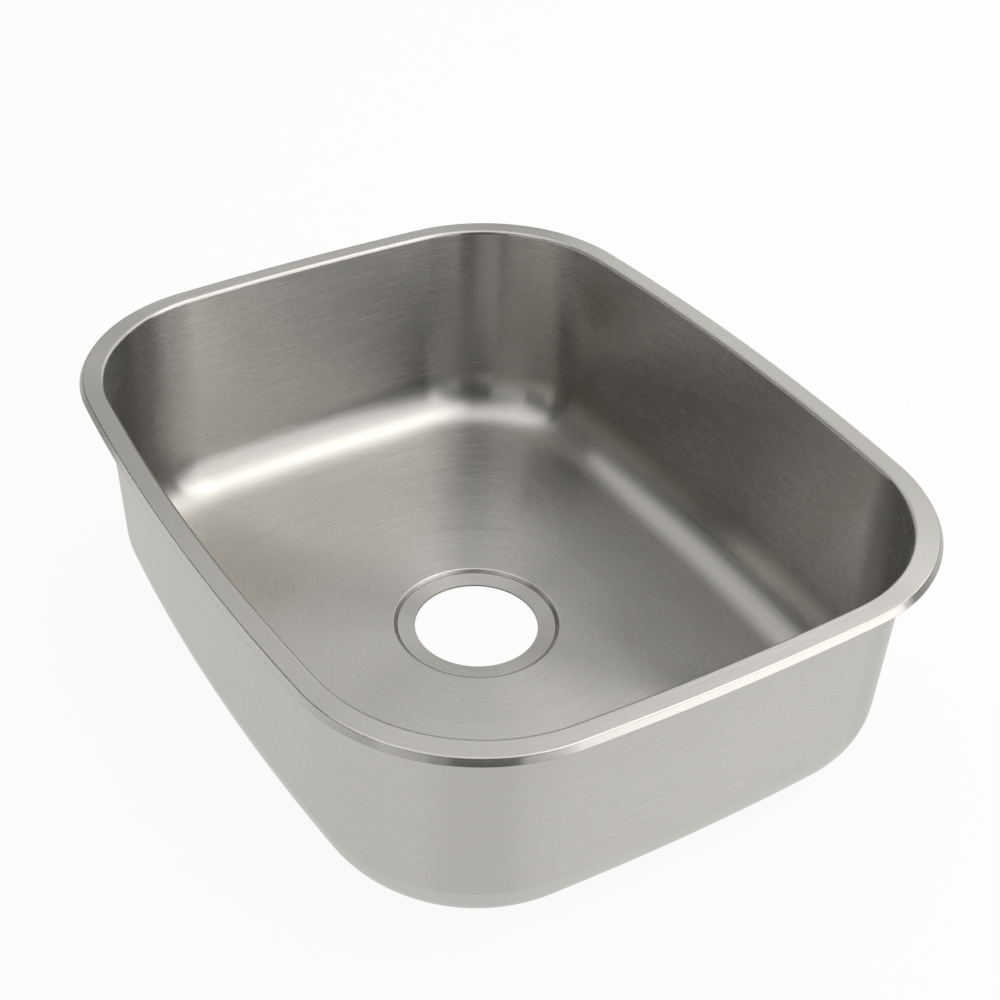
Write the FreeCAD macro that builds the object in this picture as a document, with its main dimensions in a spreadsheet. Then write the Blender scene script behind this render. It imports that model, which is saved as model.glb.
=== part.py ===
"""Undermount kitchen sink: one drawn stainless bowl and the two sound pads bonded under its floor.

Frame: millimetres, +Z up. The origin lies on the drain's axis, level with the underside of the pads,
so the sink stands on z = 0. +X runs along the bowl's length and +Y along its width.
"""
import FreeCAD, Part
import math
import os

import Sketcher

# Driving dimensions, in millimetres and degrees. Each one is a cell of the sheet "Sizes".
SIZES = {
    # rim, seen from above
    "overall_length": 550.0,      # over the turned-down lip, along X
    "overall_width": 450.0,       # over the turned-down lip, along Y
    "rim_corner_radius": 121.0,   # the lip's outline in plan
    "end_turn": 2.9,              # degrees that half of an end wall turns: the ends bow outwards
    "side_turn": 5.35,            # degrees that half of a side wall turns
    # rim, in section
    "sheet": 1.2,                 # 18 gauge
    "flange_width": 16.5,         # from the lip's edge to the bowl's inner wall
    "lip_height": 4.1,
    "lip_flare": 35.0,            # degrees off vertical
    "lip_bend_radius": 1.8,       # outside of the bend from flange to lip, kept as a chamfer
    "rim_roll_radius": 2.8,       # flange rolling over into the bowl, on the upper surface
    # bowl, inside
    "bowl_depth": 165.0,          # from the flange down to the floor at the drain recess
    "bowl_corner_radius": 109.0,  # in plan, at the flange
    "wall_taper": 4.9,            # how far each wall comes in on its way down
    "cove_radius": 38.0,          # wall to floor
    "fall_width": 46.0,           # round the drain recess, where the floor falls to it
    "floor_fall": 0.75,           # degrees
    # drain recess, on its upper surface
    "drain_diameter": 88.9,       # standard 3 1/2 inch opening
    "recess_diameter": 119.4,
    "step_depth": 2.4,
    "step_angle": 45.0,           # degrees from level
    "seat_angle": 4.5,            # degrees: the seat falls on to the opening
    "step_roll_radius": 2.0,      # floor to step, kept as a chamfer
    # sound pads, under the floor
    "pad_thickness": 5.0,
    "pad_drain_gap": 16.0,        # from the recess to the pad
    "pad_end_margin": 18.0,       # from the pad to the start of the cove at the end wall
    "pad_side_margin": 50.0,      # the same at the side walls
    "pad_corner_radius": 22.0,
    "pad_bond_gap": 0.3,          # bonding film between pad and steel, at the pad's edge by the drain
}

# Places worked out from the sizes, as expressions of the sheet.
COVE_INSET = "(Sizes.flange_width + Sizes.wall_taper + Sizes.cove_radius)"
FALL_RADIUS = "(Sizes.recess_diameter / 2 + Sizes.fall_width)"
PAD_INNER_X = "(Sizes.recess_diameter / 2 + Sizes.pad_drain_gap)"
PAD_OUTER_X = f"(Sizes.overall_length / 2 - {COVE_INSET} - Sizes.pad_end_margin)"
PAD_HALF_WIDTH = f"(Sizes.overall_width / 2 - {COVE_INSET} - Sizes.pad_side_margin)"
PAD_STACK = "(Sizes.pad_thickness + Sizes.pad_bond_gap + Sizes.sheet)"
FLOOR_Z = f"({PAD_STACK} + ({FALL_RADIUS} - {PAD_INNER_X}) * tan(Sizes.floor_fall))"
RECESS_Z = f"({FLOOR_Z} - ({FALL_RADIUS} - Sizes.recess_diameter / 2) * tan(Sizes.floor_fall))"
RIM_TOP_Z = f"({RECESS_Z} + Sizes.bowl_depth)"
LIP_BOTTOM_Z = f"({RIM_TOP_Z} - Sizes.lip_height)"
FLANGE_UNDER_Z = f"({RIM_TOP_Z} - Sizes.sheet)"
WALL_SLOPE = f"(Sizes.wall_taper / ({RIM_TOP_Z} - {FLOOR_Z}))"

TOLERANCE = 1e-3
UP = FreeCAD.Vector(0, 0, 1)

doc = FreeCAD.newDocument("UndermountSink")
sheet = doc.addObject("Spreadsheet::Sheet", "Sizes")
for row, (alias, size) in enumerate(SIZES.items(), start=1):
    sheet.set(f"A{row}", alias)
    sheet.set(f"B{row}", str(size))
    sheet.setAlias(f"B{row}", alias)
doc.recompute()


def value(expression):
    """The number that an expression of the sheet gives."""
    result = sheet.evalExpression(expression)
    return float(getattr(result, "Value", result))


def new_body(label):
    body = doc.addObject("PartDesign::Body", label)
    body.Label = label
    return body


def new_sketch(body, name, plane, level=None):
    """A sketch on one of the body's origin planes, lifted to a level along the plane's normal."""
    sketch = body.newObject("Sketcher::SketchObject", name)
    origin_plane = next(item for item in body.Origin.OriginFeatures if item.Role == plane)
    sketch.AttachmentSupport = [(origin_plane, "")]
    sketch.MapMode = "FlatFace"
    if level is not None:
        sketch.setExpression("AttachmentOffset.Base.z", level)
    return sketch


def constrain(sketch, kind, *where, expression=None):
    """Adds one constraint and, where it holds a size, binds it to the sheet."""
    if expression is None:
        sketch.addConstraint(Sketcher.Constraint(kind, *where))
        return
    degrees = kind == "Angle"
    size = value(expression)
    index = sketch.addConstraint(Sketcher.Constraint(kind, *where, math.radians(size) if degrees else size))
    sketch.setExpression(f"Constraints[{index}]", f"({expression}) * 1 deg" if degrees else expression)


def bowed_outline(sketch, half_length, half_width, corner_radius):
    """A rounded rectangle with sides that bow outwards: eight arcs, each tangent to the next.

    Every outline of the sink turns by the same angles, so a wall drawn between two of them has no
    crease where a side meets a corner.
    """
    a, b, r = value(half_length), value(half_width), value(corner_radius)
    end_turn, side_turn = math.radians(value("Sizes.end_turn")), math.radians(value("Sizes.side_turn"))
    end_rise, side_rise = 1 - math.cos(end_turn), 1 - math.cos(side_turn)
    det = end_rise * side_rise - math.sin(end_turn) * math.sin(side_turn)
    end_reach = ((a - r) * side_rise - (b - r) * math.sin(side_turn)) / det
    side_reach = ((b - r) * end_rise - (a - r) * math.sin(end_turn)) / det
    end_radius, side_radius = end_reach + r, side_reach + r
    corner_x, corner_y = side_reach * math.sin(side_turn), end_reach * math.sin(end_turn)
    side_arcs = [
        ((a - end_radius, 0), end_radius, end_turn),
        ((0, b - side_radius), side_radius, side_turn),
        ((end_radius - a, 0), end_radius, end_turn),
        ((0, side_radius - b), side_radius, side_turn),
    ]
    corners = [(corner_x, corner_y), (-corner_x, corner_y), (-corner_x, -corner_y), (corner_x, -corner_y)]
    quarter = math.pi / 2
    for k, (centre, radius, turn) in enumerate(side_arcs):
        next_turn = side_arcs[(k + 1) % 4][2]
        circle = Part.Circle(FreeCAD.Vector(*centre, 0), UP, radius)
        sketch.addGeometry(Part.ArcOfCircle(circle, k * quarter - turn, k * quarter + turn))
        circle = Part.Circle(FreeCAD.Vector(*corners[k], 0), UP, r)
        sketch.addGeometry(Part.ArcOfCircle(circle, k * quarter + turn, (k + 1) * quarter - next_turn))
    end, corner, side = 0, 1, 2
    centre_point, origin, x_axis, y_axis = 3, -1, -1, -2
    for k in range(8):
        constrain(sketch, "Tangent", k, 2, (k + 1) % 8, 1)
    constrain(sketch, "PointOnObject", end, centre_point, x_axis)
    constrain(sketch, "PointOnObject", side, centre_point, y_axis)
    constrain(sketch, "Symmetric", end, centre_point, end + 4, centre_point, origin, 1)
    constrain(sketch, "Symmetric", side, centre_point, side + 4, centre_point, origin, 1)
    for first, second in ((end, end + 4), (side, side + 4), (corner, 3), (corner, 5), (corner, 7)):
        constrain(sketch, "Equal", first, second)
    constrain(sketch, "Radius", corner, expression=corner_radius)
    constrain(sketch, "Angle", end, expression="2 * Sizes.end_turn")
    constrain(sketch, "Angle", side, expression="2 * Sizes.side_turn")
    for arc, point, axis, kind, reach in (
        (end, (a, 0), x_axis, "DistanceX", half_length),
        (side, (0, b), y_axis, "DistanceY", half_width),
    ):
        middle = sketch.addGeometry(Part.Point(FreeCAD.Vector(*point, 0)), True)
        constrain(sketch, "PointOnObject", middle, 1, axis)
        constrain(sketch, "PointOnObject", middle, 1, arc)
        constrain(sketch, kind, origin, 1, middle, 1, expression=reach)


def rim_outline(body, name, level, inset):
    """The rim's outline, moved inwards by inset."""
    sketch = new_sketch(body, name, "XY_Plane", level)
    bowed_outline(
        sketch,
        f"Sizes.overall_length / 2 - {inset}",
        f"Sizes.overall_width / 2 - {inset}",
        f"Sizes.rim_corner_radius - {inset}",
    )
    return sketch


def wall_outline(body, name, level, grow):
    """The bowl's outline at one level: that of its inside, grown square to the wall by grow."""
    inset = f"(({RIM_TOP_Z} - {level}) * {WALL_SLOPE} - {grow} / cos(atan({WALL_SLOPE})))"
    sketch = new_sketch(body, name, "XY_Plane", level)
    bowed_outline(
        sketch,
        f"Sizes.overall_length / 2 - Sizes.flange_width - {inset}",
        f"Sizes.overall_width / 2 - Sizes.flange_width - {inset}",
        f"Sizes.bowl_corner_radius - {inset}",
    )
    return sketch


def loft(body, kind, name, upper, lower):
    """Straight walls from one outline down to another; kind is AdditiveLoft or SubtractiveLoft."""
    feature = body.newObject(f"PartDesign::{kind}", name)
    feature.Profile = upper
    feature.Sections = [lower]
    feature.Ruled = True
    doc.recompute()


def polygon(sketch, points):
    """Draws a closed polygon; each corner is a pair of expressions of the sheet, across and up."""
    corners = [FreeCAD.Vector(value(across), value(height), 0) for across, height in points]
    count = len(corners)
    for k in range(count):
        sketch.addGeometry(Part.LineSegment(corners[k], corners[(k + 1) % count]))
    for k in range(count):
        constrain(sketch, "Coincident", k, 2, (k + 1) % count, 1)
    origin, y_axis = -1, -2
    for k, (across, height) in enumerate(points):
        if across == "0":
            constrain(sketch, "PointOnObject", k, 1, y_axis)
        else:
            constrain(sketch, "DistanceX", origin, 1, k, 1, expression=across)
        constrain(sketch, "DistanceY", origin, 1, k, 1, expression=height)


def revolve(body, name, points):
    """Adds a profile turned round the drain's axis; its corners are distances from the axis and heights."""
    before = body.Shape.Volume
    sketch = new_sketch(body, f"{name}Profile", "XZ_Plane")
    polygon(sketch, points)
    feature = body.newObject("PartDesign::Revolution", name)
    feature.Profile = sketch
    feature.ReferenceAxis = (sketch, ["V_Axis"])
    doc.recompute()
    if feature.Shape.Volume <= before:
        raise RuntimeError(f"{name} added nothing")


def dress(body, kind, name, size_property, size, chosen):
    """Adds a fillet or chamfer along the edges of the body's last feature that chosen picks."""
    base = body.Tip
    edges = [f"Edge{k}" for k, edge in enumerate(base.Shape.Edges, start=1) if chosen(edge)]
    if not edges:
        raise RuntimeError(f"{name} found no edge")
    feature = body.newObject(f"PartDesign::{kind}", name)
    feature.Base = (base, edges)
    feature.setExpression(size_property, size)
    doc.recompute()


def fillet(body, name, radius, chosen):
    dress(body, "Fillet", name, "Radius", radius, chosen)


def chamfer(body, name, size, chosen):
    dress(body, "Chamfer", name, "Size", size, chosen)


def chamfered_bend(radius, angle):
    """The chamfer that stands for a bend by angle: its face touches the bend in the middle."""
    return f"({radius}) * (tan(({angle}) / 2) - tan(({angle}) / 4))"


def along(sketch):
    """Picks the edges that lie on a sketch's outline."""
    outline = sketch.Shape

    def chosen(edge):
        span = edge.LastParameter - edge.FirstParameter
        places = [edge.valueAt(edge.FirstParameter + span * share) for share in (0.1, 0.5, 0.9)]
        return all(outline.distToShape(Part.Vertex(place))[0] < TOLERANCE for place in places)

    return chosen


def upright(edge):
    """Picks the straight edges that stand upright."""
    return isinstance(edge.Curve, Part.Line) and abs(edge.Curve.Direction.z) > 1 - TOLERANCE


def beneath(sketch, depth):
    """Picks the level edges that run about depth under a sketch's outline."""
    outline = sketch.Shape
    drop = value(depth)
    level = outline.BoundBox.ZMin - drop

    def chosen(edge):
        ends = [edge.valueAt(edge.FirstParameter).z, edge.valueAt(edge.LastParameter).z]
        level_run = all(abs(height - level) < TOLERANCE for height in ends)
        return level_run and outline.distToShape(edge)[0] < 2 * drop

    return chosen


def circle_of(radius):
    """Picks the full circles of one radius round the drain's axis."""
    size = value(radius)

    def chosen(edge):
        circle = edge.Curve
        return isinstance(circle, Part.Circle) and abs(circle.Radius - size) < TOLERANCE

    return chosen


def grown(reach, height, outer_slope, inner_slope, grow):
    """A corner of the floor's section, moved down by grow square to both stretches that meet there."""
    mean = f"(({outer_slope} + {inner_slope}) / 2)"
    half_turn = f"(({inner_slope} - {outer_slope}) / 2)"
    return (
        f"({reach} + {grow} * sin({mean}) / cos({half_turn}))",
        f"({height} - {grow} * cos({mean}) / cos({half_turn}))",
    )


def bowl_form(body, grow):
    """The bowl as a solid: its cavity where grow is 0, or its outside where grow is the sheet.

    Tapered walls run from the flange to the level floor and meet it in the cove. Below that level the
    floor falls to the drain recess: a step, then the seat, which is carried in past the opening's edge.
    """
    level = f"({FLOOR_Z} - {grow})"
    mouth = wall_outline(body, f"{body.Label}Mouth", RIM_TOP_Z, grow)
    foot = wall_outline(body, f"{body.Label}Foot", level, grow)
    loft(body, "AdditiveLoft", f"{body.Label}Walls", mouth, foot)
    fillet(body, f"{body.Label}Cove", f"Sizes.cove_radius + {grow}", along(foot))

    fall, step, seat = "Sizes.floor_fall", "Sizes.step_angle", "Sizes.seat_angle"
    step_top = "Sizes.recess_diameter / 2"
    step_foot = f"{step_top} - Sizes.step_depth / tan({step})"
    brink = grown(FALL_RADIUS, FLOOR_Z, "0", fall, grow)
    roll = grown(step_top, RECESS_Z, fall, step, grow)
    root = grown(step_foot, f"{RECESS_Z} - Sizes.step_depth", step, seat, grow)
    seat_end = "Sizes.drain_diameter / 4"
    seat_end_z = f"{root[1]} - ({root[0]} - {seat_end}) * tan({seat})"
    revolve(body, f"{body.Label}Fall", [
        ("0", level),
        brink,
        roll,
        root,
        (seat_end, seat_end_z),
        ("0", seat_end_z),
    ])
    return mouth


def build_bowl():
    """The drawn bowl: turned-down rim, walls, coved floor and drain recess, all of one sheet."""
    cavity = new_body("bowl_cavity")
    inner_mouth = bowl_form(cavity, "0")
    step_roll = chamfered_bend("Sizes.step_roll_radius", "Sizes.step_angle - Sizes.floor_fall")
    chamfer(cavity, "StepRoll", step_roll, circle_of("Sizes.recess_diameter / 2"))

    bowl = new_body("sink_bowl")
    slant = "Sizes.lip_height * tan(Sizes.lip_flare)"
    lip_edge = rim_outline(bowl, "LipEdge", LIP_BOTTOM_Z, "0")
    lip_top = rim_outline(bowl, "LipTop", RIM_TOP_Z, f"({slant})")
    loft(bowl, "AdditiveLoft", "RimOutside", lip_top, lip_edge)
    chamfer(bowl, "LipBend", chamfered_bend("Sizes.lip_bend_radius", "90 - Sizes.lip_flare"), along(lip_top))

    lip_wall = "Sizes.sheet / cos(Sizes.lip_flare)"
    inner_slant = "(Sizes.lip_height - Sizes.sheet) * tan(Sizes.lip_flare)"
    hollow_edge = rim_outline(bowl, "HollowEdge", LIP_BOTTOM_Z, f"({lip_wall})")
    hollow_top = rim_outline(bowl, "HollowTop", FLANGE_UNDER_Z, f"({lip_wall} + {inner_slant})")
    loft(bowl, "SubtractiveLoft", "RimHollow", hollow_top, hollow_edge)

    outer_mouth = bowl_form(bowl, "Sizes.sheet")
    cut = bowl.newObject("PartDesign::Boolean", "BowlInside")
    cut.setObjects([cavity])
    cut.Type = "Cut"
    doc.recompute()
    fillet(bowl, "RimRoll", "Sizes.rim_roll_radius", along(inner_mouth))
    under_roll = chamfered_bend("Sizes.rim_roll_radius - Sizes.sheet", f"90 deg - atan({WALL_SLOPE})")
    chamfer(bowl, "UnderRoll", under_roll, beneath(outer_mouth, "Sizes.sheet"))

    circle = new_sketch(bowl, "DrainCircle", "XY_Plane")
    circle.addGeometry(Part.Circle(FreeCAD.Vector(), UP, value("Sizes.drain_diameter / 2")))
    constrain(circle, "Coincident", 0, 3, -1, 1)
    constrain(circle, "Diameter", 0, expression="Sizes.drain_diameter")
    before = bowl.Shape.Volume
    opening = bowl.newObject("PartDesign::Pocket", "DrainOpening")
    opening.Profile = circle
    opening.Type = "ThroughAll"
    opening.Midplane = True
    doc.recompute()
    if opening.Shape.Volume >= before:
        raise RuntimeError("the drain opening cut nothing")
    return bowl


def build_pad(label, bearing):
    """One sound pad, drawn on the +X side and turned about the drain's axis by bearing, in degrees."""
    pad = new_body(label)
    outline = new_sketch(pad, f"{label}Outline", "XY_Plane")
    polygon(outline, [
        (PAD_INNER_X, f"(-{PAD_HALF_WIDTH})"),
        (PAD_OUTER_X, f"(-{PAD_HALF_WIDTH})"),
        (PAD_OUTER_X, PAD_HALF_WIDTH),
        (PAD_INNER_X, PAD_HALF_WIDTH),
    ])
    slab = pad.newObject("PartDesign::Pad", f"{label}Slab")
    slab.Profile = outline
    slab.setExpression("Length", "Sizes.pad_thickness")
    doc.recompute()
    fillet(pad, f"{label}Corners", "Sizes.pad_corner_radius", upright)
    pad.Placement = FreeCAD.Placement(FreeCAD.Vector(), FreeCAD.Rotation(UP, bearing))
    doc.recompute()
    return pad


def check(sub_parts):
    """Raises where any object of the document failed, or a sub-part isn't one valid solid."""
    failed = [item.Label for item in doc.Objects if {"Invalid", "Error"} & set(item.State)]
    if failed:
        raise RuntimeError(f"failed objects: {failed}")
    for sub_part in sub_parts:
        shape = sub_part.Shape
        if shape.isNull() or not shape.isValid() or len(shape.Solids) != 1:
            raise RuntimeError(f"{sub_part.Label} isn't one valid solid")


sub_parts = [
    build_bowl(),
    build_pad("sound_pad_right", 0),
    build_pad("sound_pad_left", 180),
]
check(sub_parts)
os.makedirs("parts", exist_ok=True)
for sub_part in sub_parts:
    sub_part.Shape.exportStep(f"parts/{sub_part.Label}.step")
    print(f"{sub_part.Label}: {sub_part.Shape.Volume / 1000:.1f} cm3")
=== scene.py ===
"""Looks of the undermount kitchen sink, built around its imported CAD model. Metres, +Z up."""

import math

import bpy
import numpy as np
from mathutils import Matrix, Vector


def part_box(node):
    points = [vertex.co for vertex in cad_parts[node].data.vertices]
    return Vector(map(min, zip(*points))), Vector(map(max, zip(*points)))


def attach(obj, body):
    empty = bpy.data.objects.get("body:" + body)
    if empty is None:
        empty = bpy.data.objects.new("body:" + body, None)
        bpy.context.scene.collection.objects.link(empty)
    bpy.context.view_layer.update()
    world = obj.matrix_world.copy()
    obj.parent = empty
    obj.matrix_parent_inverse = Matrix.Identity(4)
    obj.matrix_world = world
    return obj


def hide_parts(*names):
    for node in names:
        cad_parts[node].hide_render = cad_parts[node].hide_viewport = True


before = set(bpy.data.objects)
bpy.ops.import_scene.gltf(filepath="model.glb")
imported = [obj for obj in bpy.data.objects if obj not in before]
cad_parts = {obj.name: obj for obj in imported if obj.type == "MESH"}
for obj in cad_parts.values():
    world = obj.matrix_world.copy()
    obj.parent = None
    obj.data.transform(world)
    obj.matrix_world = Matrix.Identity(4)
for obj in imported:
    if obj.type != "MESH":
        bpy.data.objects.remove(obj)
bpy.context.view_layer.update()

MM = 0.001

# Sizes of the bowl, as the CAD model has them: millimetres and degrees.
END_TURN, SIDE_TURN = 2.9, 5.35
SHEET = 1.2
RIM_CORNER_RADIUS, BOWL_CORNER_RADIUS = 121.0, 109.0
FLANGE_WIDTH = 16.5
LIP_HEIGHT, LIP_FLARE, LIP_BEND_RADIUS = 4.1, 35.0, 1.8
RIM_ROLL_RADIUS = 2.8
BOWL_DEPTH, WALL_TAPER, COVE_RADIUS = 165.0, 4.9, 38.0
FALL_WIDTH, FLOOR_FALL = 46.0, 0.75
DRAIN_DIAMETER, RECESS_DIAMETER = 88.9, 119.4
STEP_DEPTH, STEP_ANGLE, SEAT_ANGLE, STEP_ROLL_RADIUS = 2.4, 45.0, 4.5, 2.0

# Softened edges that the CAD model leaves out, in millimetres.
CUT_EDGE_RADIUS = 0.22      # where the sheet was cut: the lip's edge and the drain opening
STEP_ROOT_RADIUS = 1.4      # where the recess's step meets its seat
BRINK_RADIUS = 40.0         # where the floor begins to fall
FLAT_BEFORE_FALL = 1.0      # level floor in the drain's section, outside the fall
PAD_EDGE = 0.6

# How finely an outline's arcs, a section's bends and its long stretches are divided.
END_POINTS, CORNER_POINTS, SIDE_POINTS = 32, 44, 40
COVE_STEPS, RIM_ROLL_STEPS, BEND_STEPS, ROOT_STEPS, CUT_STEPS, BRINK_STEPS = 36, 14, 9, 6, 4, 3
UNDER_ROLL_STEPS, UNDER_BEND_STEPS = 10, 6
RING_SPACING = 9.0          # millimetres between rings, at most
FLAT_STEPS = 3              # rings across each flat that joins two sections

# What became of the surface at a corner of a section, with the painted shade at cut edges and in the step's
# root: the mesh keeps it as "bend".
STRAIGHT = 0.0
ROUNDED = 1.0               # drawn over the die, a little smoother
ROOT_PAINTED_SHADE = -0.8              # painted shade in the root of the drain's step, darkened like a crease in shadow
CUT = -1.0                  # where the sheet was cut: rougher, and darkened there as painted shade

low, high = (np.array(corner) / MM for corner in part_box("sink_bowl"))
HALF_LENGTH, HALF_WIDTH = (high - low)[:2] / 2
RIM_TOP = high[2]
RECESS_TOP = RIM_TOP - BOWL_DEPTH
FALL_RADIUS = RECESS_DIAMETER / 2 + FALL_WIDTH
FLOOR_TOP = RECESS_TOP + FALL_WIDTH * math.tan(math.radians(FLOOR_FALL))


# ---------------------------------------------------------------- outlines

def outline(half_length, half_width, corner_radius):
    """Points and outward normals of a rounded rectangle whose sides bow outwards, in eight tangent arcs."""
    end, side = math.radians(END_TURN), math.radians(SIDE_TURN)
    end_rise, side_rise = 1 - math.cos(end), 1 - math.cos(side)
    det = end_rise * side_rise - math.sin(end) * math.sin(side)
    a, b = half_length - corner_radius, half_width - corner_radius
    end_reach = (a * side_rise - b * math.sin(side)) / det
    side_reach = (b * end_rise - a * math.sin(end)) / det
    corner = np.array([side_reach * math.sin(side), end_reach * math.sin(end)])
    arcs = []
    for quarter in range(4):
        along_end = quarter % 2 == 0
        turn, following = (end, side) if along_end else (side, end)
        reach, half, count = (end_reach, a, END_POINTS) if along_end else (side_reach, b, SIDE_POINTS)
        facing = quarter * math.pi / 2
        centre = (half - reach) * np.array([math.cos(facing), math.sin(facing)])
        arcs.append((centre, reach + corner_radius, facing - turn, facing + turn, count))
        signs = np.array([1 if quarter in (0, 3) else -1, 1 if quarter in (0, 1) else -1])
        last = facing + math.pi / 2 - following
        arcs.append((corner * signs, corner_radius, facing + turn, last, CORNER_POINTS))
    points, normals = [], []
    for centre, radius, first, last, count in arcs:
        angles = np.linspace(first, last, count, endpoint=False)
        normal = np.stack([np.cos(angles), np.sin(angles)], axis=1)
        points.append(centre + radius * normal)
        normals.append(normal)
    return np.concatenate(points), np.concatenate(normals)


rim_points, facing_out = outline(HALF_LENGTH, HALF_WIDTH, RIM_CORNER_RADIUS)
wall_points, _ = outline(HALF_LENGTH - FLANGE_WIDTH, HALF_WIDTH - FLANGE_WIDTH, BOWL_CORNER_RADIUS)
foot_points = wall_points - (WALL_TAPER + COVE_RADIUS) * facing_out
radial = foot_points / np.linalg.norm(foot_points, axis=1)[:, None]
FAMILIES = {
    "rim": (rim_points, facing_out),
    "wall": (wall_points, facing_out),
    "drain": (np.zeros_like(radial), radial),
}


# ---------------------------------------------------------------- the bowl's section

def path(corners):
    """Walks along a section's corners and returns its stations: (across, height, normal's angle, bend).

    A corner is (across, height, radius, steps, bend): it is rounded by radius in that many steps. The
    surface faces the right of the way walked. The ends take a neighbour's bend where it is below straight
    (a cut edge or the painted shade of the step's root), and are straight otherwise.
    """
    bends = [corner[4] for corner in corners]
    bends[0], bends[-1] = min(bends[1], STRAIGHT), min(bends[-2], STRAIGHT)
    places = [np.array(corner[:2], float) for corner in corners]
    headings = [math.atan2(*(b - a)[::-1]) for a, b in zip(places, places[1:])]
    stations = [(*places[0], headings[0] - math.pi / 2, bends[0])]
    for k in range(1, len(corners) - 1):
        radius, steps = corners[k][2:4]
        first = headings[k - 1]
        turn = (headings[k] - first + math.pi) % (2 * math.pi) - math.pi
        way = np.array([math.cos(first), math.sin(first)])
        start = places[k] - way * radius * math.tan(abs(turn) / 2)
        swing = math.copysign(radius, turn)
        centre = start + swing * np.array([-way[1], way[0]])
        for step in range(steps + 1):
            heading = first + turn * step / steps
            neighbour = {0: bends[k - 1], steps: bends[k + 1]}.get(step, bends[k])
            bend = bends[k] if 0 < step < steps or neighbour == bends[k] == CUT else STRAIGHT
            spot = centre + swing * np.array([math.sin(heading), -math.cos(heading)])
            stations.append((*spot, heading - math.pi / 2, bend))
    stations.append((*places[-1], headings[-1] - math.pi / 2, bends[-1]))
    return stations


def moved(corners, distance):
    """The corners of a section moved by distance to the left of the way, square to its stretches."""
    places = [np.array(corner[:2], float) for corner in corners]
    ways = [(b - a) / np.linalg.norm(b - a) for a, b in zip(places, places[1:])]
    result = []
    for k, place in enumerate(places):
        both = ways[max(k - 1, 0)] + ways[min(k, len(ways) - 1)]
        left = np.array([-both[1], both[0]])
        result.append(place + left * distance * 2 / (left @ left))
    return result


def ring(family, station):
    """One ring of points with its normals, from a station of the section."""
    across, height, angle, bend = station
    base, out = FAMILIES[family]
    count = len(out)
    points = np.column_stack([base + across * out, np.full(count, height)])
    normals = np.column_stack([math.cos(angle) * out, np.full(count, math.sin(angle))])
    return points, normals, bend


def between(first, last, steps):
    """Rings between two rings, evenly spaced; both ends are left out."""
    rings = []
    for step in range(1, steps):
        share = step / steps
        points = (1 - share) * first[0] + share * last[0]
        normals = (1 - share) * first[1] + share * last[1]
        rings.append((points, normals, max(first[2], last[2])))
    return rings


def rings_of(family, corners):
    """Rings along a section, with more of them on its long stretches."""
    stations = path(corners)
    rings = [ring(family, stations[0])]
    for before, station in zip(stations, stations[1:]):
        following = ring(family, station)
        steps = max(1, math.ceil(math.dist(before[:2], station[:2]) / RING_SPACING))
        rings += between(rings[-1], following, steps) + [following]
    return rings


def bridged(stretches):
    """The rings of all stretches and those of the flats between them, as one closed round."""
    rings = []
    for stretch, following in zip(stretches, stretches[1:] + stretches[:1]):
        rings += stretch + between(stretch[-1], following[0], FLAT_STEPS)
    return rings


flare, step, seat = (math.tan(math.radians(angle)) for angle in (LIP_FLARE, STEP_ANGLE, SEAT_ANGLE))
lip_bottom, flange_bottom = RIM_TOP - LIP_HEIGHT, RIM_TOP - SHEET
lip_wall = SHEET / math.cos(math.radians(LIP_FLARE))
recess_edge, hole_edge = RECESS_DIAMETER / 2, DRAIN_DIAMETER / 2
step_foot, seat_top = recess_edge - STEP_DEPTH / step, RECESS_TOP - STEP_DEPTH
hole_top = seat_top - (step_foot - hole_edge) * seat

# The sheet's upper side. "across" is measured outwards, from the family's outline or the drain's axis.
wall_over = [
    (FLANGE_WIDTH / 2, RIM_TOP),
    (0, RIM_TOP),
    (-WALL_TAPER, FLOOR_TOP),
    (-WALL_TAPER - COVE_RADIUS, FLOOR_TOP),
]
drain_over = [
    (FALL_RADIUS + FLAT_BEFORE_FALL, FLOOR_TOP),
    (FALL_RADIUS, FLOOR_TOP),
    (recess_edge, RECESS_TOP),
    (step_foot, seat_top),
    (hole_edge, hole_top),
]
wall_under, drain_under = moved(wall_over, SHEET), moved(drain_over, SHEET)
root = drain_under[-2]
hole_bottom = root[1] - (root[0] - hole_edge) * seat
hole_middle = (hole_edge, (hole_top + hole_bottom) / 2)


def rounded(places, roundings):
    """Corners for path: each place with its (radius, steps, bend)."""
    return [(*place, *rounding) for place, rounding in zip(places, roundings)]


END = (0, 0, STRAIGHT)
EDGE = (CUT_EDGE_RADIUS, CUT_STEPS, CUT)
BRINK = (BRINK_RADIUS, BRINK_STEPS, ROUNDED)
LIP_BEND = (LIP_BEND_RADIUS, BEND_STEPS, ROUNDED)
UNDER_LIP_BEND = (LIP_BEND_RADIUS - SHEET, UNDER_BEND_STEPS, ROUNDED)
RIM_ROLL = (RIM_ROLL_RADIUS, RIM_ROLL_STEPS, ROUNDED)
UNDER_RIM_ROLL = (RIM_ROLL_RADIUS - SHEET, UNDER_ROLL_STEPS, ROUNDED)
COVE = (COVE_RADIUS, COVE_STEPS, ROUNDED)
UNDER_COVE = (COVE_RADIUS + SHEET, COVE_STEPS, ROUNDED)
STEP_ROLL = (STEP_ROLL_RADIUS, BEND_STEPS, ROUNDED)
UNDER_STEP_ROLL = (STEP_ROLL_RADIUS - SHEET, UNDER_BEND_STEPS, ROUNDED)
# the step's root carries painted shade
STEP_ROOT = (STEP_ROOT_RADIUS, ROOT_STEPS, ROOT_PAINTED_SHADE)
UNDER_STEP_ROOT = (STEP_ROOT_RADIUS + SHEET, ROOT_STEPS, ROUNDED)

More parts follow.
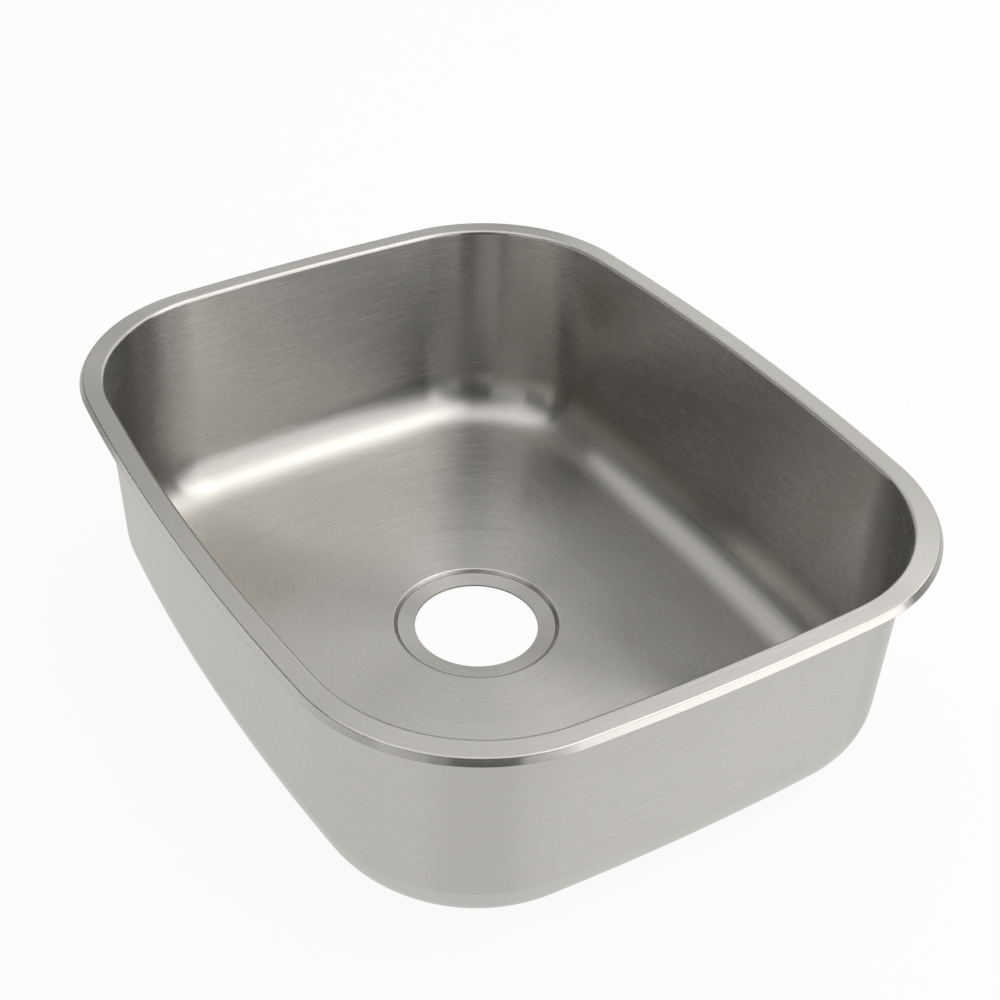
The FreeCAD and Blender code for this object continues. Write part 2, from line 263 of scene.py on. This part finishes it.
# Once round the sheet's section, from the lip's edge over the top to the drain opening and back below.
sections = [
    ("rim", rounded(
        [
            (-lip_wall / 2, lip_bottom),
            (0, lip_bottom),
            (-LIP_HEIGHT * flare, RIM_TOP),
            (-FLANGE_WIDTH / 2, RIM_TOP),
        ],
        [END, EDGE, LIP_BEND, END],
    )),
    ("wall", rounded(wall_over, [END, RIM_ROLL, COVE, END])),
    ("drain", rounded([*drain_over, hole_middle], [END, BRINK, STEP_ROLL, STEP_ROOT, EDGE, END])),
    ("drain", rounded(
        [hole_middle, (hole_edge, hole_bottom), *drain_under[-2::-1]],
        [END, EDGE, UNDER_STEP_ROOT, UNDER_STEP_ROLL, BRINK, END],
    )),
    ("wall", rounded(wall_under[::-1], [END, UNDER_COVE, UNDER_RIM_ROLL, END])),
    ("rim", rounded(
        [
            (-FLANGE_WIDTH / 2, flange_bottom),
            (-lip_wall - (LIP_HEIGHT - SHEET) * flare, flange_bottom),
            (-lip_wall, lip_bottom),
            (-lip_wall / 2, lip_bottom),
        ],
        [END, UNDER_LIP_BEND, EDGE, END],
    )),
]
stretches = [rings_of(family, corners) for family, corners in sections]


# ---------------------------------------------------------------- the bowl's mesh

def bowl_mesh(rings):
    """The bowl as one closed mesh of rings, with its normals, its UV map and its grain's coordinates."""
    count, around = len(rings), len(rings[0][0])
    stacked = np.stack([points for points, _, _ in rings])
    points = stacked.reshape(-1, 3) * MM
    normals = np.concatenate([normals for _, normals, _ in rings])
    bend = np.repeat([bend for _, _, bend in rings], around)
    first = np.arange(count)[:, None] * around
    here, beside = np.arange(around), (np.arange(around) + 1) % around
    below = (first + around) % (count * around)
    faces = np.stack([first + here, first + beside, below + beside, below + here], axis=-1).reshape(-1, 4)

    mesh = bpy.data.meshes.new("sink_bowl_steel")
    mesh.from_pydata(points.tolist(), [], faces.tolist())
    mesh.polygons.foreach_set("use_smooth", np.ones(len(faces), bool))
    mesh.normals_split_custom_set_from_vertices(normals.tolist())

    # The UV map and the grain measure the sheet in metres, along the brushing and across it.
    closed = np.vstack([wall_points, wall_points[:1]])
    along = np.concatenate([[0], np.cumsum(np.linalg.norm(np.diff(closed, axis=0), axis=1))]) * MM
    stride = np.linalg.norm(np.diff(stacked, axis=0, append=stacked[:1]), axis=2).mean(axis=1) * MM
    across = np.concatenate([[0], np.cumsum(stride)])
    row, column = np.divmod(np.arange(count * around), around)
    u = np.stack([along[column], along[column + 1], along[column + 1], along[column]], axis=1)
    v = np.stack([across[row], across[row], across[row + 1], across[row + 1]], axis=1)
    mesh.uv_layers.new(name="around").data.foreach_set("uv", np.stack([u, v], axis=-1).ravel())

    girth = np.linalg.norm(np.diff(stacked, axis=1, append=stacked[:, :1]), axis=2).sum(axis=1) * MM
    turn = 2 * np.pi * along[:-1] / along[-1]
    reach = girth[:, None] / (2 * np.pi)
    grain = np.stack([reach * np.cos(turn), reach * np.sin(turn), across[:-1, None] + 0 * turn], axis=-1)
    kept_grain = mesh.attributes.new("grain", "FLOAT_VECTOR", "POINT")
    kept_grain.data.foreach_set("vector", grain.astype(np.float32).ravel())
    kept_bend = mesh.attributes.new("bend", "FLOAT", "POINT")
    kept_bend.data.foreach_set("value", bend.astype(np.float32))
    mesh.update()
    return mesh


bowl = bpy.data.objects.new("drawn_bowl", bowl_mesh(bridged(stretches)))
bpy.context.scene.collection.objects.link(bowl)
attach(bowl, "root")
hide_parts("sink_bowl")


# ---------------------------------------------------------------- materials

class Nodes:
    """Short ways to build a node tree."""

    def __init__(self, tree):
        self.tree = tree
        tree.nodes.clear()

    def add(self, kind, inputs=None, **settings):
        node = self.tree.nodes.new(kind)
        for name, setting in settings.items():
            setattr(node, name, setting)
        for name, given in (inputs or {}).items():
            if isinstance(given, bpy.types.NodeSocket):
                self.tree.links.new(given, node.inputs[name])
            else:
                node.inputs[name].default_value = given
        return node

    def noise(self, coordinates, scale, detail=2.0, roughness=0.5):
        """Noise on coordinates stretched by scale, a number for each axis; gives its Factor socket."""
        stretched = self.add("ShaderNodeMapping", {"Vector": coordinates, "Scale": scale})
        made = self.add("ShaderNodeTexNoise", {
            "Vector": stretched.outputs[0], "Scale": 1.0, "Detail": detail, "Roughness": roughness,
        })
        return made.outputs[0]

    def span(self, factor, first, last, low=0.0, high=1.0):
        """Maps factor from low..high to first..last."""
        node = self.add("ShaderNodeMapRange", {
            "Value": factor, "From Min": low, "From Max": high, "To Min": first, "To Max": last,
        })
        return node.outputs[0]

    def sum(self, *terms):
        total = terms[0]
        for term in terms[1:]:
            total = self.add("ShaderNodeMath", {0: total, 1: term}, operation="ADD").outputs[0]
        return total


def material(name):
    made = bpy.data.materials.new(name)
    made.use_nodes = True
    return made, Nodes(made.node_tree)


# Noise per metre. The third axis of the bowl's grain runs across the brushing, where the noise is finest.
FINE_GRAIN, STREAKS, SMUDGES = (45, 45, 2400), (14, 14, 820), (9, 9, 9)
PITS, CLOUD = (900, 900, 900), (22, 22, 22)
# the shade that mixes these two includes the painted shade at cut edges and in the step's root
DARK_STEEL, PALE_STEEL = (0.130, 0.125, 0.118, 1), (0.618, 0.600, 0.562, 1)
DARK_SHADE, PALE_SHADE = -0.4, 0.1


def brushed_steel():
    """Satin stainless steel, brushed along the bowl's walls and round its drain, with painted shade on its
    cut edges and in the root of the drain's step.
    """
    made, nodes = material("brushed_stainless_steel")
    grain = nodes.add("ShaderNodeAttribute", attribute_name="grain").outputs["Vector"]
    bend = nodes.add("ShaderNodeAttribute", attribute_name="bend").outputs["Fac"]
    place = nodes.add("ShaderNodeTexCoord").outputs["Object"]
    fine = nodes.noise(grain, FINE_GRAIN, detail=2)
    streaks = nodes.noise(grain, STREAKS, detail=3, roughness=0.6)
    smudges = nodes.noise(place, SMUDGES, detail=3)
    shade = nodes.sum(
        nodes.span(fine, -0.030, 0.030),
        nodes.span(streaks, -0.022, 0.022, 0.25, 0.75),
        nodes.span(smudges, -0.012, 0.012, 0.3, 0.7),
        nodes.span(bend, 0.0, 0.02, STRAIGHT, ROUNDED),
        # painted shade: the cut edges, and the root of the drain's step, are darkened
        nodes.span(bend, -0.34, 0.0, CUT, STRAIGHT),
    )
    colour = nodes.add("ShaderNodeMix", {
        0: nodes.span(shade, 0, 1, DARK_SHADE, PALE_SHADE), "A": DARK_STEEL, "B": PALE_STEEL,
    }, data_type="RGBA")
    rough = nodes.sum(
        nodes.span(fine, 0.250, 0.280),
        nodes.span(streaks, -0.018, 0.018, 0.25, 0.75),
        nodes.span(smudges, -0.010, 0.010, 0.3, 0.7),
        nodes.span(bend, 0.0, -0.03, STRAIGHT, ROUNDED),
        nodes.span(bend, 0.12, 0.0, CUT, STRAIGHT),
    )
    relief = nodes.sum(nodes.span(fine, 0, 0.6), nodes.span(streaks, 0, 1))
    height = nodes.add("ShaderNodeSeparateXYZ", {"Vector": place}).outputs["Z"]
    depth = nodes.span(height, 0.010, 0.022, FLOOR_TOP * MM, (FLOOR_TOP + COVE_RADIUS) * MM)
    bump = nodes.add("ShaderNodeBump", {"Strength": depth, "Distance": 0.0002, "Height": relief})
    tangent = nodes.add("ShaderNodeTangent", direction_type="UV_MAP", uv_map="around")
    shader = nodes.add("ShaderNodeBsdfPrincipled", {
        "Base Color": colour.outputs["Result"],
        "Metallic": 1.0,
        "Roughness": rough,
        "Anisotropic": 1.0,
        "Anisotropic Rotation": 0.25,
        "Normal": bump.outputs[0],
        "Tangent": tangent.outputs[0],
    })
    nodes.add("ShaderNodeOutputMaterial", {"Surface": shader.outputs[0]})
    return made


def pad_rubber():
    """Black sound-deadening pad: dull, finely pitted, its edges rubbed a little paler."""
    made, nodes = material("pad_rubber")
    place = nodes.add("ShaderNodeTexCoord").outputs["Object"]
    pits = nodes.noise(place, PITS, detail=3)
    cloud = nodes.noise(place, CLOUD, detail=4)
    worn = nodes.span(nodes.add("ShaderNodeNewGeometry").outputs["Pointiness"], 0, 0.03, 0.52, 0.62)
    shade = nodes.sum(nodes.span(pits, 0.0, 0.014), nodes.span(cloud, 0.030, 0.050), worn)
    colour = nodes.add("ShaderNodeCombineColor", {"Red": shade, "Green": shade, "Blue": shade})
    rough = nodes.sum(nodes.span(cloud, 0.72, 0.86), nodes.span(pits, -0.05, 0.05))
    bump = nodes.add("ShaderNodeBump", {"Strength": 0.5, "Distance": 0.0003, "Height": pits})
    shader = nodes.add("ShaderNodeBsdfPrincipled", {
        "Base Color": colour.outputs[0], "Roughness": rough, "Normal": bump.outputs[0],
    })
    nodes.add("ShaderNodeOutputMaterial", {"Surface": shader.outputs[0]})
    return made


bowl.data.materials.append(brushed_steel())
rubber = pad_rubber()
for name in ("sound_pad_left", "sound_pad_right"):
    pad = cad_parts[name]
    pad.material_slots[0].link = "OBJECT"
    pad.material_slots[0].material = rubber
    soften = pad.modifiers.new("edges", "BEVEL")
    soften.width = PAD_EDGE * MM
    soften.segments = 2
    soften.limit_method = "ANGLE"
    soften.angle_limit = math.radians(50)


# ---------------------------------------------------------------- studio

PAPER = (0.8, 0.8, 0.8, 1)
KEPT_SHADE = 0.08           # how much of its own shade the floor keeps where it is seen as white
FLOOR_SIDE, FLOOR_DROP = 40, 0.0002
LIGHT_DISTANCE = 2.4
LIGHT_TARGET = Vector((0, 0, 0.12))
WORLD_LIGHT = 0.05


def studio_white():
    """A plain surface that is seen as white, straight on, in metal and in glass, with some shade kept."""
    made, nodes = material("floor_white")
    rays = nodes.add("ShaderNodeLightPath").outputs
    seen = nodes.sum(rays["Is Camera Ray"], rays["Is Glossy Ray"], rays["Is Transmission Ray"])
    white = nodes.add("ShaderNodeEmission", {"Color": (1, 1, 1, 1), "Strength": 1.0})
    paper = nodes.add("ShaderNodeBsdfDiffuse", {"Color": PAPER})
    share = nodes.span(seen, 0, 1 - KEPT_SHADE)
    mixed = nodes.add("ShaderNodeMixShader", {0: share, 1: paper.outputs[0], 2: white.outputs[0]})
    nodes.add("ShaderNodeOutputMaterial", {"Surface": mixed.outputs[0]})
    return made


def studio_floor():
    """A large level square, just under the pads."""
    half = FLOOR_SIDE / 2
    mesh = bpy.data.meshes.new("floor")
    corners = [(-half, -half, 0), (half, -half, 0), (half, half, 0), (-half, half, 0)]
    mesh.from_pydata(corners, [], [(0, 1, 2, 3)])
    mesh.materials.append(studio_white())
    made = bpy.data.objects.new("floor", mesh)
    made.location = (0, 0, -FLOOR_DROP)
    bpy.context.scene.collection.objects.link(made)


def soft_box(name, azimuth, elevation, width, height, radiance):
    """A soft box that looks at the bowl. Azimuth is measured from +X towards +Y."""
    light = bpy.data.lights.new(name, "AREA")
    light.shape = "RECTANGLE"
    light.size, light.size_y = width, height
    light.energy = radiance * math.pi * width * height
    made = bpy.data.objects.new(name, light)
    a, e = math.radians(azimuth), math.radians(elevation)
    away = Vector((math.cos(a) * math.cos(e), math.sin(a) * math.cos(e), math.sin(e)))
    made.location = LIGHT_TARGET + away * LIGHT_DISTANCE
    made.rotation_mode = "QUATERNION"
    made.rotation_quaternion = away.to_track_quat("Z", "Y")
    made.visible_camera = False
    bpy.context.scene.collection.objects.link(made)


def studio_world():
    """A dim world that is white where it is seen straight on or through glass."""
    made = bpy.data.worlds.new("studio")
    made.use_nodes = True
    nodes = Nodes(made.node_tree)
    rays = nodes.add("ShaderNodeLightPath").outputs
    seen = nodes.sum(rays["Is Camera Ray"], rays["Is Transmission Ray"])
    strength = nodes.span(seen, WORLD_LIGHT, 1.0)
    sky = nodes.add("ShaderNodeBackground", {"Color": (1, 1, 1, 1), "Strength": strength})
    nodes.add("ShaderNodeOutputWorld", {"Surface": sky.outputs[0]})
    bpy.context.scene.world = made


studio_floor()
soft_box("right_wall", 39, 39, 2.0, 3.5, 1.12)
soft_box("right_strip", 22, 9, 2.9, 1.0, 1.55)
soft_box("overhead", 83, 83, 1.9, 5.5, 1.06)
soft_box("back_ceiling", 141, 55, 5.7, 3.6, 0.64)
soft_box("left_ceiling", 178, 54, 1.9, 1.2, 0.18)
soft_box("back_wall", 109, 26, 2.9, 1.3, 0.63)
soft_box("front_strip", -97, 6, 5.2, 0.66, 1.6)
soft_box("front_fill", -58, 30, 1.3, 1.0, 0.5)
studio_world()


# ---------------------------------------------------------------- camera

# The photograph's camera, from a fit to the outlines of the rim, the drain and the base. Metres from the
# drain's axis and above the rim, and where the picture's right, down and depth point.
CAMERA_PLACE = Vector((0.762594, -0.479689, 0.618193))
RIGHT, DOWN, AHEAD = (
    (0.483296, 0.875444, -0.004760),
    (0.523130, -0.293149, -0.800249),
    (-0.701969, 0.384267, -0.599649),
)
SENSOR_WIDTH, FOCAL_LENGTH, SIDE_SHIFT = 36.0, 59.35, 0.1
NEAREST, FARTHEST = 0.01, 100.0

view = bpy.data.cameras.new("camera")
view.sensor_width = SENSOR_WIDTH
view.lens = FOCAL_LENGTH
view.shift_x = SIDE_SHIFT
view.clip_start, view.clip_end = NEAREST, FARTHEST
camera = bpy.data.objects.new("camera", view)
turned = Matrix([RIGHT, DOWN, AHEAD]).transposed() @ Matrix.Diagonal((1, -1, -1))
camera.matrix_world = Matrix.Translation(CAMERA_PLACE + Vector((0, 0, RIM_TOP * MM))) @ turned.to_4x4()
bpy.context.scene.collection.objects.link(camera)
bpy.context.scene.camera = camera
bpy.context.scene.view_settings.view_transform = "Standard"
